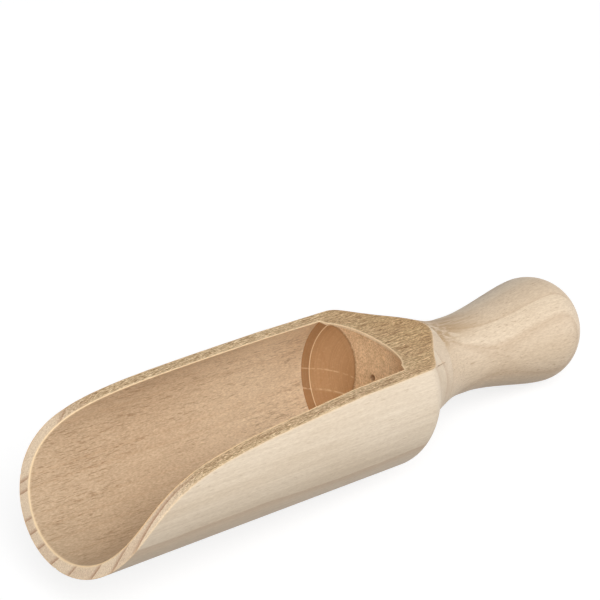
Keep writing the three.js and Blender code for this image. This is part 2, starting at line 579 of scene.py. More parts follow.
@dataclass(frozen=True)
class DrillMarks:
    """What the drill left on the bore's end: fine uneven circles, pale dots and rays; and painted shade in
    the pit, on the band by the wall and under the near rim.

    Attributes:
        contrast: How strongly the circles show.
        dot_range: Values of the noise between which a dot comes in.
        dot_share: How strongly the dots show.
        band_radius: Distance from the axis of the ridge, outside which painted shade darkens the band up to
            the wall.
        band_soft: Half width of that edge.
        band_share: How dark that painted shade is.
        bow: Rise of the shade and the rays for each metre across.
        shade_height: Height over the axis under which a painted shadow of the near rim darkens the face.
        shade_soft: Depth over which that comes in.
        shade_share: How dark that painted shadow is.
        rays: Heights over the axis of thin pale rays.
        ray_span: Distances from a ray where it starts and where it is full.
        ray_breaks: Values of the noise between which a ray comes in.
        ray_share: How strongly the rays show.
        pit_rise: Height of the pit over the axis.
        pit_span: Distances from the pit's middle where it starts and where it is full.
        pit_shade: How dark the painted shade in the pit is.
    """

    contrast: float = 0.34
    dot_range: tuple[float, float] = (0.58, 0.7)
    dot_share: float = 0.65
    band_radius: float = 0.0222
    band_soft: float = 0.0002
    band_share: float = 0.4
    bow: float = 0.116
    shade_height: float = -0.008
    shade_soft: float = 0.0008
    shade_share: float = 0.35
    rays: tuple[float, ...] = (-0.0012, -0.0079)
    ray_span: tuple[float, float] = (0.00035, 0.00008)
    ray_breaks: tuple[float, float] = (0.35, 0.6)
    ray_share: float = 0.5
    pit_rise: float = 0.0014
    pit_span: tuple[float, float] = (0.0014, 0.0007)
    pit_shade: float = 0.8

    def drawn(self, desk: NodeDesk, colour: Wire, point: Wire, calm: Wire, finish: BeechFinish) -> Wire:
        """Draws the marks and the painted shade.

        Args:
            desk: The tree of nodes.
            colour: Colour of the wood.
            point: The point in the scoop's own frame.
            calm: Share of the specks that is left.
            finish: The finish, for its colours.

        Returns:
            The marked colour.
        """
        _, across, up = desk.split(point)
        away = desk.distance(across, up)
        circles = DRILL_CIRCLES.read(desk, desk.vector(away, 0.0, 0.0))
        colour = desk.shaded(colour, circles, self.contrast)
        dots = desk.ramp(DRILL_DOTS.read(desk, point), *self.dot_range, self.dot_share)
        colour = desk.tint(dots * calm, colour, finish.end)
        # Painted shade on the band between the ridge and the wall
        edges = (self.band_radius - self.band_soft, self.band_radius + self.band_soft)
        colour = desk.tint(desk.ramp(away, *edges, self.band_share), colour, finish.dash)
        bowed = across * self.bow + up
        # Painted shadow of the near rim, below a bowed line
        low = desk.ramp(bowed, self.shade_height, self.shade_height - self.shade_soft, self.shade_share)
        colour = desk.tint(low, colour, finish.ring)
        broken = desk.ramp(RAY_BREAKS.read(desk, point), *self.ray_breaks, self.ray_share)
        for height in self.rays:
            ray = desk.ramp(abs(bowed - height), *self.ray_span)
            colour = desk.tint(ray * broken, colour, finish.end)
        # Painted shade in the drill's pit
        beside = desk.distance(across, up - self.pit_rise)
        return desk.tint(desk.ramp(beside, *self.pit_span, self.pit_shade), colour, finish.dash)


@dataclass(frozen=True)
class Feather:
    """Brown streaks on the top of the neck, where the fibres that the saw cut run on.

    Attributes:
        height: Height over the axis where they start.
        reach: Place along the axis where they end.
        height_soft: Height over which they come in.
        reach_soft: Length over which they fade out.
        share: How strongly they show.
        streak_range: Values of the long figure between which a streak comes in.
        stain: Colour of the streaks.
    """

    height: float
    reach: float = 0.178
    height_soft: float = 0.0045
    reach_soft: float = 0.022
    share: float = 0.85
    streak_range: tuple[float, float] = (0.32, 0.6)
    stain: Colour = tone(176, 142, 100)

    def laid(self, desk: NodeDesk, colour: Wire, along: Wire, up: Wire, streak: Wire) -> Wire:
        """Lays the streaks over a colour.

        Args:
            desk: The tree of nodes.
            colour: Colour of the wood.
            along: Place along the axis.
            up: Height over the axis.
            streak: The long figure.

        Returns:
            The browned colour.
        """
        top = desk.ramp(up, self.height, self.height + self.height_soft)
        near = desk.ramp(along, self.reach, self.reach - self.reach_soft, self.share)
        return desk.tint(top * near * desk.ramp(streak, *self.streak_range), colour, self.stain)


@dataclass(frozen=True)
class BeechFinish:
    """Bare beech as one tool leaves it.

    Attributes:
        name: Name of the material.
        pale: Colour of the early wood.
        deep: Colour that the broad bands drift to.
        ring: Colour of a ring's dark edge.
        dash: Colour of the short dark rays.
        end: Colour where the fibres end.
        streaks: Long figure.
        specks: Short figure.
        ring_share: How strongly the rings show.
        band_share: How far every second year's wood drifts to the rings' colour.
        tick_share: How much more strongly the rings show where the fibres end.
        dash_share: How strongly the dark dashes show.
        dash_cover: How much of the face they cover, from 0 to 1.
        end_share: How far the colour changes where the fibres end.
        end_place: Place along the axis in front of which the face cuts across the fibres.
        end_calm: How far the specks fade there.
        paling: Places along the axis between which the colour turns from deep to pale; in the bore this is
            painted light, paler deeper in.
        heart: The browner wood near the tree's heart.
        drill: The drill's marks.
        feather: The streaks on the neck.
        roughness: Roughness of the face.
        relief: Depth of the fibre's relief.
        wave: How far the sawn fibres wave.
    """

    name: str
    pale: Colour
    deep: Colour
    ring: Colour
    dash: Colour
    end: Colour
    streaks: Figure
    specks: Figure
    ring_share: float
    band_share: float = 0.0
    tick_share: float = 0.0
    dash_share: float = 0.0
    dash_cover: float = 0.3
    end_share: float = 0.0
    end_place: float = -1.0
    end_calm: float = 0.0
    paling: tuple[float, float] | None = None
    heart: HeartWood | None = None
    drill: DrillMarks | None = None
    feather: Feather | None = None
    roughness: float = 0.6
    relief: float = 0.0001
    wave: float = 0.0

    def material(self, grain: GrainField, place: ScoopPlace) -> bpy.types.Material:
        """Builds the material.

        Args:
            grain: How the tree grew in this piece.
            place: Where the scoop's frame lies.

        Returns:
            The material.
        """
        material = bpy.data.materials.new(self.name)
        material.use_nodes = True
        desk = NodeDesk(material.node_tree)
        point = self._own_frame(desk, place)
        along, _, up = desk.split(point)
        radius = grain.heart_distance(desk, point)
        figure = self._waved(desk, desk.vector_math("ADD", point, grain.shift))
        streak, speck = self.streaks.read(desk, figure), self.specks.read(desk, figure)
        ends = self._fibre_ends(desk, along)
        ringed, second = grain.ring_marks(desk, radius)
        colour = desk.tint(self._drift(desk, figure, along), self.pale, self.deep)
        colour = desk.tint(ends * self.end_share, colour, self.end)
        colour = desk.tint(second * self.band_share, colour, self.ring)
        calm = ends * -self.end_calm + 1.0
        if self.heart:
            colour, left = self.heart.browned(desk, colour, radius, up, self)
            calm = calm * left
        colour = desk.tint(ringed * (ends * self.tick_share + self.ring_share), colour, self.ring)
        for marks, look in ((streak, self.streaks), (speck, self.specks)):
            colour = desk.shaded(colour, marks, calm * look.contrast)
        dashes = self._dashes(desk, figure) * calm
        colour = desk.tint(dashes * self.dash_share, colour, self.dash)
        if self.drill:
            colour = self.drill.drawn(desk, colour, point, calm, self)
        if self.feather:
            colour = self.feather.laid(desk, colour, along, up, streak)
        # Painted highlight on the eased edges and on the drill's ridge
        colour = desk.tint(desk.attribute("arris"), colour, ARRIS_HIGHLIGHT_TONE)
        rough = (streak - MIDDLE) * ROUGH_SWING + self.roughness
        relief = {"Strength": 1.0, "Distance": self.relief, "Height": speck - dashes * DASH_DEPTH}
        surface = {"Base Color": colour, "Roughness": rough, "Normal": desk.out("ShaderNodeBump", relief)}
        shader = desk.out("ShaderNodeBsdfPrincipled", {**surface, "Specular IOR Level": WOOD_SPECULAR})
        desk.add("ShaderNodeOutputMaterial", {"Surface": shader})
        return material

    @staticmethod
    def _own_frame(desk: NodeDesk, place: ScoopPlace) -> Wire:
        """Gives the point in the scoop's own frame, so that the grain runs along the axis.

        Args:
            desk: The tree of nodes.
            place: Where the scoop's frame lies.

        Returns:
            The point.
        """
        seen = desk.out("ShaderNodeTexCoord", None, "Object")
        feeds = {"Vector": seen, "Location": place.origin, "Rotation": (0.0, place.tilt, 0.0)}
        return desk.out("ShaderNodeMapping", feeds, vector_type="TEXTURE")

    def _drift(self, desk: NodeDesk, figure: Wire, along: Wire) -> Wire:
        """Tells how far the wood drifts from pale to deep.

        Args:
            desk: The tree of nodes.
            figure: The point that the fine figure is read at.
            along: Place along the axis.

        Returns:
            The share of the deep colour.
        """
        drift = desk.ramp(BROAD_DRIFT.read(desk, figure), *DRIFT_RANGE)
        if not self.paling:
            return drift
        deep, pale = self.paling
        # In the bore this drift along the axis is painted light
        return drift * PALING_DRIFT + desk.ramp(along, pale, deep, PALING_SHARE)

    def _fibre_ends(self, desk: NodeDesk, along: Wire) -> Wire:
        """Tells how far the face cuts across the fibres, from 0 to 1."""
        front = desk.ramp(along, self.end_place + END_SOFT, self.end_place - END_SOFT)
        return desk.math("MAXIMUM", desk.attribute("end_grain"), front)

    def _dashes(self, desk: NodeDesk, figure: Wire) -> Wire:
        """Scatters short dark dashes in loose patches.

        Args:
            desk: The tree of nodes.
            figure: The point that the fine figure is read at.

        Returns:
            The dashes, from 0 to 1.
        """
        edge = DASH_EDGE - DASH_EDGE_SPAN * self.dash_cover
        marks = desk.ramp(DASH_MARKS.read(desk, figure), edge, edge + DASH_SOFT)
        return marks * desk.ramp(DASH_PATCHES.read(desk, figure), *PATCH_RANGE)

    def _waved(self, desk: NodeDesk, figure: Wire) -> Wire:
        """Sets the fibres waving, as a saw shows them.

        Args:
            desk: The tree of nodes.
            figure: The point that the fine figure is read at.

        Returns:
            The moved point.
        """
        if not self.wave:
            return figure
        shift = (SAW_SWING.read(desk, figure) - MIDDLE) * self.wave
        return desk.vector_math("ADD", figure, desk.vector(0.0, shift, 0.0))


TURNED_BOWL = BeechFinish(
    name="turned_beech_bowl",
    pale=tone(231, 214, 191),
    deep=tone(217, 197, 171),
    ring=tone(196, 166, 136),
    dash=tone(176, 146, 114),
    end=tone(226, 205, 178),
    streaks=fibres(30.0, 1100.0, 0.3),
    specks=fibres(600.0, 2400.0, 0.35),
    ring_share=0.4,
    band_share=0.24,
    tick_share=-0.7,
    dash_share=0.3,
    dash_cover=0.2,
    feather=Feather(height=0.0151),
    roughness=0.55,
    relief=0.00006,
)
BORED_BOWL = BeechFinish(
    name="bored_beech",
    pale=tone(240, 217, 185),
    deep=tone(206, 178, 146),
    ring=tone(184, 145, 106),
    dash=tone(146, 108, 72),
    end=tone(218, 190, 158),
    streaks=fibres(90.0, 700.0, 0.25),
    specks=fibres(900.0, 2600.0, 0.85),
    ring_share=0.18,
    dash_share=0.42,
    dash_cover=0.58,
    # Painted light: the bore turns paler deeper in and darker towards the lip
    paling=(0.045, 0.122),
    roughness=0.62,
)
BORE_END = BeechFinish(
    name="bored_end_grain",
    pale=tone(232, 199, 160),
    deep=tone(224, 188, 146),
    ring=tone(172, 122, 73),
    dash=tone(122, 80, 42),
    end=tone(236, 206, 166),
    streaks=fibres(300.0, 500.0, 0.2),
    specks=fibres(1900.0, 1900.0, 1.4),
    ring_share=0.15,
    heart=HeartWood(edge=0.0262, share=0.72, line_share=0.5, calm=0.85),
    drill=DrillMarks(),
    roughness=0.68,
)
SAWN_RIM = BeechFinish(
    name="sawn_beech",
    pale=tone(211, 182, 143),
    deep=tone(196, 161, 115),
    ring=tone(168, 120, 88),
    dash=tone(128, 92, 54),
    end=tone(241, 217, 188),
    streaks=fibres(150.0, 3400.0, 2.6),
    specks=fibres(900.0, 3400.0, 2.6),
    ring_share=0.1,
    band_share=0.12,
    tick_share=0.6,
    dash_share=0.5,
    dash_cover=0.45,
    end_share=0.9,
    end_place=0.022,
    end_calm=0.7,
    paling=(0.15, 0.1),
    roughness=0.72,
    relief=0.00016,
    wave=0.0013,
)
TURNED_HANDLE = BeechFinish(
    name="turned_beech_handle",
    pale=tone(231, 212, 187),
    deep=tone(225, 204, 177),
    ring=tone(200, 172, 141),
    dash=tone(172, 140, 106),
    end=tone(228, 206, 180),
    streaks=fibres(60.0, 1100.0, 0.25),
    specks=fibres(600.0, 2400.0, 0.5),
    ring_share=0.42,
    band_share=0.28,
    tick_share=-0.7,
    dash_share=0.45,
    dash_cover=0.4,
    # Browner inside one ring and under the axis: a ring of the grain, with painted shade on the underside
    heart=HeartWood(edge=0.048, share=0.45, line_share=0.2, top=-0.001),
    feather=Feather(height=0.0095),
    roughness=0.52,
    relief=0.00006,
)
DOWEL_WOOD = BeechFinish(
    name="dowel_beech",
    pale=tone(222, 198, 168),
    deep=tone(212, 186, 154),
    ring=tone(184, 150, 112),
    dash=tone(160, 124, 86),
    end=tone(212, 180, 144),
    streaks=fibres(60.0, 900.0, 0.5),
    specks=fibres(420.0, 2200.0, 0.5),
    ring_share=0.3,
    dash_share=0.4,
    roughness=0.7,
)

BOWL_GRAIN = GrainField(
    pith_across=0.0333,
    pith_up=-0.0048,
    pith_slope=0.0,
    rings=(0.0124, 0.0155, 0.0238, 0.0281, 0.033, 0.039, 0.045, 0.0515, 0.0562, 0.0595),
    late=0.0022,
    wander=0.0016,
    shift=(0.31, 0.17, 0.53),
)
HANDLE_GRAIN = GrainField(
    pith_across=0.0556,
    pith_up=-0.0048,
    pith_slope=-0.1214,
    rings=(0.0252, 0.0302, 0.0367, 0.0438, 0.048),
    late=0.0014,
    wander=0.0004,
    shift=(0.83, 0.41, 0.29),
)


def shown(name: str, data: bpy.types.ID) -> bpy.types.Object:
    """Makes an object and puts it in the scene.

    Args:
        name: Name of the object.
        data: Its mesh, lamp or camera.

    Returns:
        The object.
    """
    item = bpy.data.objects.new(name, data)
    bpy.context.scene.collection.objects.link(item)
    return item


def laid_piece(name: str, mesh: bpy.types.Mesh, place: ScoopPlace) -> bpy.types.Object:
    """Closes a mesh made in the scoop's frame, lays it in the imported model's and shows it.

    Args:
        name: Name of the piece.
        mesh: The mesh, in the scoop's own frame.
        place: Where that frame lies.

    Returns:
        The piece, at the origin.
    """
    work = bmesh.new()
    work.from_mesh(mesh)
    bmesh.ops.remove_doubles(work, verts=work.verts, dist=MERGE_GAP)
    bmesh.ops.dissolve_degenerate(work, edges=work.edges, dist=MERGE_GAP)
    bmesh.ops.recalc_face_normals(work, faces=work.faces)
    ends = work.verts.layers.float.new("end_grain")
    work.normal_update()
    for vert in work.verts:
        vert[ends] = vert.normal.x ** 2
    work.to_mesh(mesh)
    work.free()
    mesh.transform(place.matrix)
    mesh.shade_smooth()
    mesh.set_sharp_from_angle(angle=SHARP_ANGLE)
    log.info("%s: %d faces", name, len(mesh.polygons))
    return shown(name, mesh)


@dataclass
class RimEdge:
    """One edge of the sawn face on the far half of the rim, from the lip's tip to the back.

    Attributes:
        profile: The wall that the saw meets there.
        mouth: The cut.
        outward: Whether the wall faces away from the axis.
        samples: Points that the edge is traced with.
        halvings: Steps of the search for each of them.
    """

    profile: Profile
    mouth: SawnMouth
    outward: bool
    samples: int = 9000
    halvings: int = 48

    def __post_init__(self) -> None:
        """Traces the edge and the way that its two faces leave it."""
        self.angle = np.linspace(0.0, math.pi, self.samples)
        self.run = self._meet(self.angle)
        self.along, _ = self.profile.at(self.run)
        self.points = self.swept(self.run, self.angle)
        self.length = run_lengths(self.points)
        self.tangent = unit(np.gradient(self.points, axis=0))
        cut, wall = self.mouth.normal_at(self.along), self._wall_normal()
        self.into_wall = self._leaving(wall, cut)
        self.into_cut = self._leaving(cut, wall)

    def _meet(self, angle: np.ndarray) -> np.ndarray:
        """Finds by halving where the wall at each angle meets the cut.

        Args:
            angle: Angles round the axis from the keel.

        Returns:
            The runs along the profile.
        """
        low = np.zeros_like(angle)
        high = np.full_like(angle, self.profile.run[-1])
        for _ in range(self.halvings):
            middle = (low + high) / 2
            along, radius = self.profile.at(middle)
            above = -radius * np.cos(angle) > self.mouth.height_at(along)
            low = np.where(above, middle, low)
            high = np.where(above, high, middle)
        return (low + high) / 2

    def swept(self, run: np.ndarray, angle: np.ndarray) -> np.ndarray:
        """Gives the points of the wall at runs along the profile and angles round the axis."""
        along, radius = self.profile.at(run)
        return np.stack([along, radius * np.sin(angle), -radius * np.cos(angle)], axis=-1)

    def _wall_normal(self) -> np.ndarray:
        """Gives the normal of the wall along the edge, out of the wood.

        Returns:
            Unit normals, one row each.
        """
        out = self.profile.heading(self.run) * (1.0 if self.outward else -1.0)
        lift = out[:, 0]
        normal = [-out[:, 1], lift * np.sin(self.angle), -lift * np.cos(self.angle)]
        return unit(np.stack(normal, axis=-1))

    def _leaving(self, own: np.ndarray, other: np.ndarray) -> np.ndarray:
        """Gives the direction in which a face leaves the edge.

        Args:
            own: Normal of the face.
            other: Normal of the face across the edge.

        Returns:
            Unit directions, one row each.
        """
        way = unit(np.cross(self.tangent, own))
        return np.where((way * other).sum(axis=1, keepdims=True) > 0, -way, way)

    def length_at_angle(self, angle: float) -> float:
        """Gives the length along the edge at an angle from the keel."""
        return float(np.interp(angle, self.angle, self.length))

    def length_at_place(self, along: float) -> float:
        """Gives the length along the edge at a place along the axis."""
        return float(np.interp(along, self.along, self.length))

    def at_length(self, values: np.ndarray, length: np.ndarray) -> np.ndarray:
        """Reads one of the edge's rows of values at lengths along it.

        Args:
            values: The values, one row for each point of the edge.
            length: Lengths along the edge.

        Returns:
            The values there.
        """
        if values.ndim == 1:
            return np.interp(length, self.length, values)
        return np.stack([np.interp(length, self.length, column) for column in values.T], axis=-1)


# Number of the corner of the bowl's profiles where the plain wall ends
WALL_END = 1

# Steps and points of the curves in the bowl's profiles
SHOULDER_STEPS = 26
BACK_EASE_POINTS = 6
BAND_POINTS = 4
THREAD_POINTS = 7
DISH_STEPS = 16
FLAT_POINTS = 6
PIT_POINTS = 18

# A point closer to an edge than this lies on it
TOUCHING = 1e-7


@dataclass
class Bowl:
    """The bored bowl with its sawn mouth, its land and its rounded shoulder.

    Attributes:
        mouth: The saw's path.
        diameter: Across the turned outside.
        straight: Length of the plain cylinder.
        shoulder: Length of the hollow shoulder behind it.
        shoulder_end: Diameter of the back face.
        shoulder_slope: Fall of the shoulder at the back face.
        heel_pull: Pull of the shoulder's curve at the heel.
        end_pull: Pull of the shoulder's curve at the back face.
        back_ease: Rounding round the back face.
        wall: Thickness that the bore leaves.
        back_wall: Solid wood behind the bore.
        ridge: Place in front of the bore's end of the drill's ridge, and its drop from the wall.
        ridge_band: Length of the band from the wall to the ridge.
        dish_drop: Drop from the wall to the flat middle of the end.
        dish_pulls: Pulls of the dish's curve at the ridge and at the flat.
        dish_slope: Fall of the dish at the ridge.
        thread: Half width and height of the thread of wood left standing on the ridge.
        thread_highlight: Reach of the painted highlight on the thread, and how strong it is.
        pit: Radius, depth and height over the axis of the pit that the drill's point left.
        socket: Diameter and depth of the dowel's hole.
        arris: Rounding of the sawn edges, at its middle.
        wear: How unevenly they are worn: shares of the rounding and marks for each metre.
        arris_reach: Distance from an edge up to which its rounding and painted highlight are looked for.
        arris_highlight_width: How far the painted highlight reaches to each side of an edge.
        outer_highlight: How strong the outer edge's painted highlight is beside the inner one.
        lip_turn: Angle from the keel up to which the rim counts as lip.
        square_to: Place up to which the rim's two edges are joined square across.
        columns: Columns of the mesh on the lip, to the square place, to the wall's end, and on the land.
        near_rows: Distances from a sawn edge of the rows beside it.
        wall_rows: Rows of a plain wall.
        cut_rows: Rows of the sawn face between those beside its edges, counted with both of these.
        least_square: Least share of a wall's way that is taken to run square from its edge.
        near_fill: Most of a short wall, and of the sawn face, that the rows beside an edge fill.
    """

    mouth: SawnMouth
    diameter: float = 0.056
    straight: float = 0.124
    shoulder: float = 0.0225
    shoulder_end: float = 0.0317
    shoulder_slope: float = JOINT_SLOPE
    heel_pull: float = 0.0064
    end_pull: float = 0.0164
    back_ease: float = 0.00004
    wall: float = 0.0038
    back_wall: float = 0.0215
    ridge: tuple[float, float] = (0.0063, 0.0021)
    ridge_band: float = 0.0017
    dish_drop: float = 0.0147
    dish_pulls: tuple[float, float] = (0.003, 0.0057)
    dish_slope: float = 0.5
    thread: tuple[float, float] = (0.000192, 0.00016)
    thread_highlight: tuple[float, float] = (0.000184, 0.75)
    pit: tuple[float, float, float] = (0.0012, 0.001, 0.0014)
    socket: tuple[float, float] = (0.0106, 0.015)
    arris: float = 0.0005
    wear: tuple[tuple[float, float], ...] = ((0.55, 260.0), (0.3, 900.0))
    arris_reach: float = 0.002
    arris_highlight_width: float = 0.00046
    outer_highlight: float = 0.35
    lip_turn: float = math.radians(75.0)
    square_to: float = 0.1
    columns: tuple[int, ...] = (44, 76, 18, 40)
    near_rows: tuple[float, ...] = (0.0001, 0.00022, 0.00036, 0.00054, 0.0008, 0.0011)
    wall_rows: int = 26
    cut_rows: int = 8
    least_square: float = 0.05
    near_fill: tuple[float, float] = (0.85, 0.3)

    @property
    def length(self) -> float:
        """From the lip's tip to the back face."""
        return self.straight + self.shoulder

    @property
    def bore_radius(self) -> float:
        """From the axis to the bore's wall."""
        return self.diameter / 2 - self.wall

    @property
    def bore_depth(self) -> float:
        """From the lip's tip to the flat end of the bore."""
        return self.length - self.back_wall

    @property
    def crest(self) -> np.ndarray:
        """The drill's ridge: its place along the axis and its radius."""
        return np.array([self.bore_depth - self.ridge[0], self.bore_radius - self.ridge[1]])

    def outside(self) -> Profile:
        """Draws the turned outside, the back face and the dowel's hole.

        Returns:
            The profile from the lip to the axis, with the heel at its second corner.
        """
        radius, end = self.diameter / 2, self.shoulder_end / 2
        pulls = [
            (self.straight, radius),
            (self.straight + self.heel_pull, radius),
            (self.length - self.end_pull, end + self.end_pull * self.shoulder_slope),
            (self.length, end),
        ]
        turn = np.linspace(0.0, math.pi / 2, BACK_EASE_POINTS)
        round_off = 1 - np.stack([np.sin(turn), np.cos(turn)], axis=1)
        ease = np.array([self.length, end]) - self.back_ease * round_off
        hole, bottom = self.socket[0] / 2, self.length - self.socket[1]
        back = [(self.length, hole), (bottom, hole), (bottom, 0.0)]
        ogee = bezier(pulls, SHOULDER_STEPS)[:-1]
        return Profile(np.vstack([[(0.0, radius)], ogee, ease, back]))

    def inside(self) -> Profile:
        """Draws the bore from the front to the axis.

        Returns:
            The profile, with the end of the wall at its second corner.
        """
        crest, flat = self.crest, self.bore_radius - self.dish_drop
        wall_end = (crest[0] - self.ridge_band, self.bore_radius)
        toward = unit(crest - wall_end)
        into_air = np.array([toward[1], -toward[0]])
        turn = np.linspace(math.pi, 0.0, THREAD_POINTS)[:, None]
        width, height = self.thread
        thread = crest + width * np.cos(turn) * toward + height * np.sin(turn) * into_air
        band = np.linspace(wall_end, thread[0], BAND_POINTS)[:-1]
        pulls = [
            tuple(thread[-1]),
            (crest[0] + self.dish_pulls[0], crest[1] - self.dish_pulls[0] * self.dish_slope),
            (self.bore_depth, flat + self.dish_pulls[1]),
            (self.bore_depth, flat),
        ]
        dish = bezier(pulls, DISH_STEPS)[1:]
        reach = self.pit[0] + self.pit[2]
        radii = [*np.linspace(flat, reach, FLAT_POINTS)[1:], *np.linspace(reach, 0.0, PIT_POINTS)[1:]]
        middle = [(self.bore_depth, away) for away in radii]
        return Profile(np.vstack([[(0.0, self.bore_radius)], band, thread, dish, middle]))

    def _sunk(self, bored: np.ndarray) -> None:
        """Sinks the pit of the drill's point into the bore's end, in place.

        Args:
            bored: Points of the bore by column and row.
        """
        radius, depth, rise = self.pit
        away = np.hypot(bored[..., 1], bored[..., 2] - rise)
        end = bored[..., 0] > self.bore_depth - MERGE_GAP
        bored[..., 0] += np.where(end, depth * np.clip(1.0 - away / radius, 0.0, 1.0), 0.0)

    def _ridge_highlight(self, bored: np.ndarray) -> np.ndarray:
        """Tells how strongly each point of the bore takes the painted highlight on the thread of the drill's
        ridge.

        Args:
            bored: Points of the bore by column and row.

        Returns:
            The share of the painted highlight, from 0 to 1.
        """
        radius = np.hypot(bored[..., 1], bored[..., 2])
        away = np.hypot(bored[..., 0] - self.crest[0], radius - self.crest[1])
        return np.where(away < self.thread_highlight[0], self.thread_highlight[1], 0.0)

    def build(self, place: ScoopPlace) -> bpy.types.Object:
        """Makes the bowl's mesh column by column round the rim.

        Args:
            place: Where the scoop's frame lies.

        Returns:
            The bowl.
        """
        inner = RimEdge(self.inside(), self.mouth, outward=False)
        outer = RimEdge(self.outside(), self.mouth, outward=True)
        inner_at, outer_at = self._spread(inner), self._spread(outer)
        bored, turned = self._wall_rows(inner, inner_at), self._wall_rows(outer, outer_at)
        self._sunk(bored)
        sawn = self._cut_rows(inner, inner_at, outer, outer_at)
        halves = [self._half(side, bored, sawn, turned, inner, outer) for side in Side]
        points, highlight = (np.concatenate([far, near[-2:0:-1]]) for far, near in zip(*halves))
        mesh = self._grid(points, highlight)
        end_rows = len(inner.profile.points) - WALL_END - 1
        bands = [
            (end_rows, Zone.BORE_END),
            (bored.shape[1] - end_rows, Zone.BORED),
            (sawn.shape[1], Zone.SAWN),
            (turned.shape[1], Zone.TURNED),
        ]
        strips = [zone for count, zone in bands for _ in range(count)]
        mesh.polygons.foreach_set("material_index", np.tile(strips[:-1], len(points)))
        log.info("bowl grid: %d columns, %d rows", *highlight.shape)
        return laid_piece("turned_bowl", mesh, place)

    def _spread(self, edge: RimEdge) -> np.ndarray:
        """Spreads the columns along one of the rim's edges, evenly between places that match on both.

        Args:
            edge: The edge.

        Returns:
            The length along the edge for each column.
        """
        marks = [
            0.0,
            edge.length_at_angle(self.lip_turn),
            edge.length_at_place(self.square_to),
            edge.length_at_place(edge.profile.points[WALL_END, 0]),
            edge.length[-1],
        ]
        parts = [
            np.linspace(low, high, count, endpoint=False)
            for low, high, count in zip(marks, marks[1:], self.columns)
        ]
        return np.concatenate([*parts, marks[-1:]])

    def _wall_rows(self, edge: RimEdge, at: np.ndarray) -> np.ndarray:
        """Sets out the rows of a wall away from its sawn edge.

        Args:
            edge: The sawn edge.
            at: Length along the edge for each column.

        Returns:
            Points by column and row, the edge first.
        """
        profile = edge.profile
        runs, angles = edge.at_length(edge.run, at), edge.at_length(edge.angle, at)
        tangents = unit(edge.at_length(edge.tangent, at))
        headings = profile.heading(runs + MERGE_GAP / 2)
        plain_end, *fixed = profile.run[WALL_END:]
        columns = []
        for run, angle, tangent, heading in zip(runs, angles, tangents, headings):
            way = np.array([heading[0], heading[1] * math.sin(angle), -heading[1] * math.cos(angle)])
            square = max(float(np.linalg.norm(way - tangent * (way @ tangent))), self.least_square)
            near = np.array(self.near_rows) / square
            if run < plain_end:
                near = near * min(1.0, self.near_fill[0] * (plain_end - run) / near[-1])
            start = run + near[-1]
            plain = np.linspace(start, max(plain_end, start), self.wall_rows + 1)[1:]
            row_runs = np.concatenate([[run], run + near, plain, np.maximum(fixed, start)])
            columns.append(edge.swept(row_runs, np.full_like(row_runs, angle)))
        return np.array(columns)

    def _cut_rows(
        self, inner: RimEdge, inner_at: np.ndarray, outer: RimEdge, outer_at: np.ndarray
    ) -> np.ndarray:
        """Sets out the rows of the sawn face from the bore to the outside.

        Args:
            inner: The edge at the bore.
            inner_at: Length along it for each column.
            outer: The edge at the outside.
            outer_at: Length along it for each column.

        Returns:
            Points by column and row, both edges included.
        """
        starts, ends = inner.at_length(inner.points, inner_at), outer.at_length(outer.points, outer_at)
        start_ways = unit(inner.at_length(inner.tangent, inner_at))
        end_ways = unit(outer.at_length(outer.tangent, outer_at))
        columns = []
        for start, end, *ways in zip(starts, ends, start_ways, end_ways):
            across = end - start
            squares = [np.linalg.norm(across - way * (across @ way)) for way in ways]
            near, far = (
                np.minimum(np.array(self.near_rows) / square, self.near_fill[1]) for square in squares
            )
            middle = np.linspace(near[-1], 1 - far[-1], self.cut_rows)[1:-1]
            share = np.concatenate([[0.0], near, middle, 1 - far[::-1], [1.0]])[:, None]
            points = start + across * share
            points[1:-1, 2] = self.mouth.height_at(points[1:-1, 0])
            columns.append(points)
        return np.array(columns)

    def _half(
        self,
        side: Side,
        bored: np.ndarray,
        sawn: np.ndarray,
        turned: np.ndarray,
        inner: RimEdge,
        outer: RimEdge,
    ) -> tuple[np.ndarray, np.ndarray]:
        """Eases the sawn edges of one half of the bowl and lays their painted highlight.

        Args:
            side: The half.
            bored: Points of the bore, the sawn edge first.
            sawn: Points of the sawn face, from the bore outwards.
            turned: Points of the outside, the sawn edge first.
            inner: The edge at the bore.
            outer: The edge at the outside.

        Returns:
            Points by column and row from the bore's end to the dowel's hole, and the share of painted
            highlight at each, from 0 to 1.
        """
        flip = np.array([1.0, side.value, 1.0])
        faces = [bored * flip, sawn * flip, turned * flip]
        highlight = [self._ridge_highlight(bored), np.zeros(sawn.shape[:2]), np.zeros(turned.shape[:2])]
        for edge, wall, number in ((inner, True, 0), (inner, False, 1), (outer, False, 1), (outer, True, 2)):
            self._ease(faces[number], highlight[number], edge, wall, flip)
        rows = [(faces[0][:, ::-1], faces[1], faces[2]), (highlight[0][:, ::-1], highlight[1], highlight[2])]
        points, edge_highlight = (np.concatenate(parts, axis=1) for parts in rows)
        return points, edge_highlight

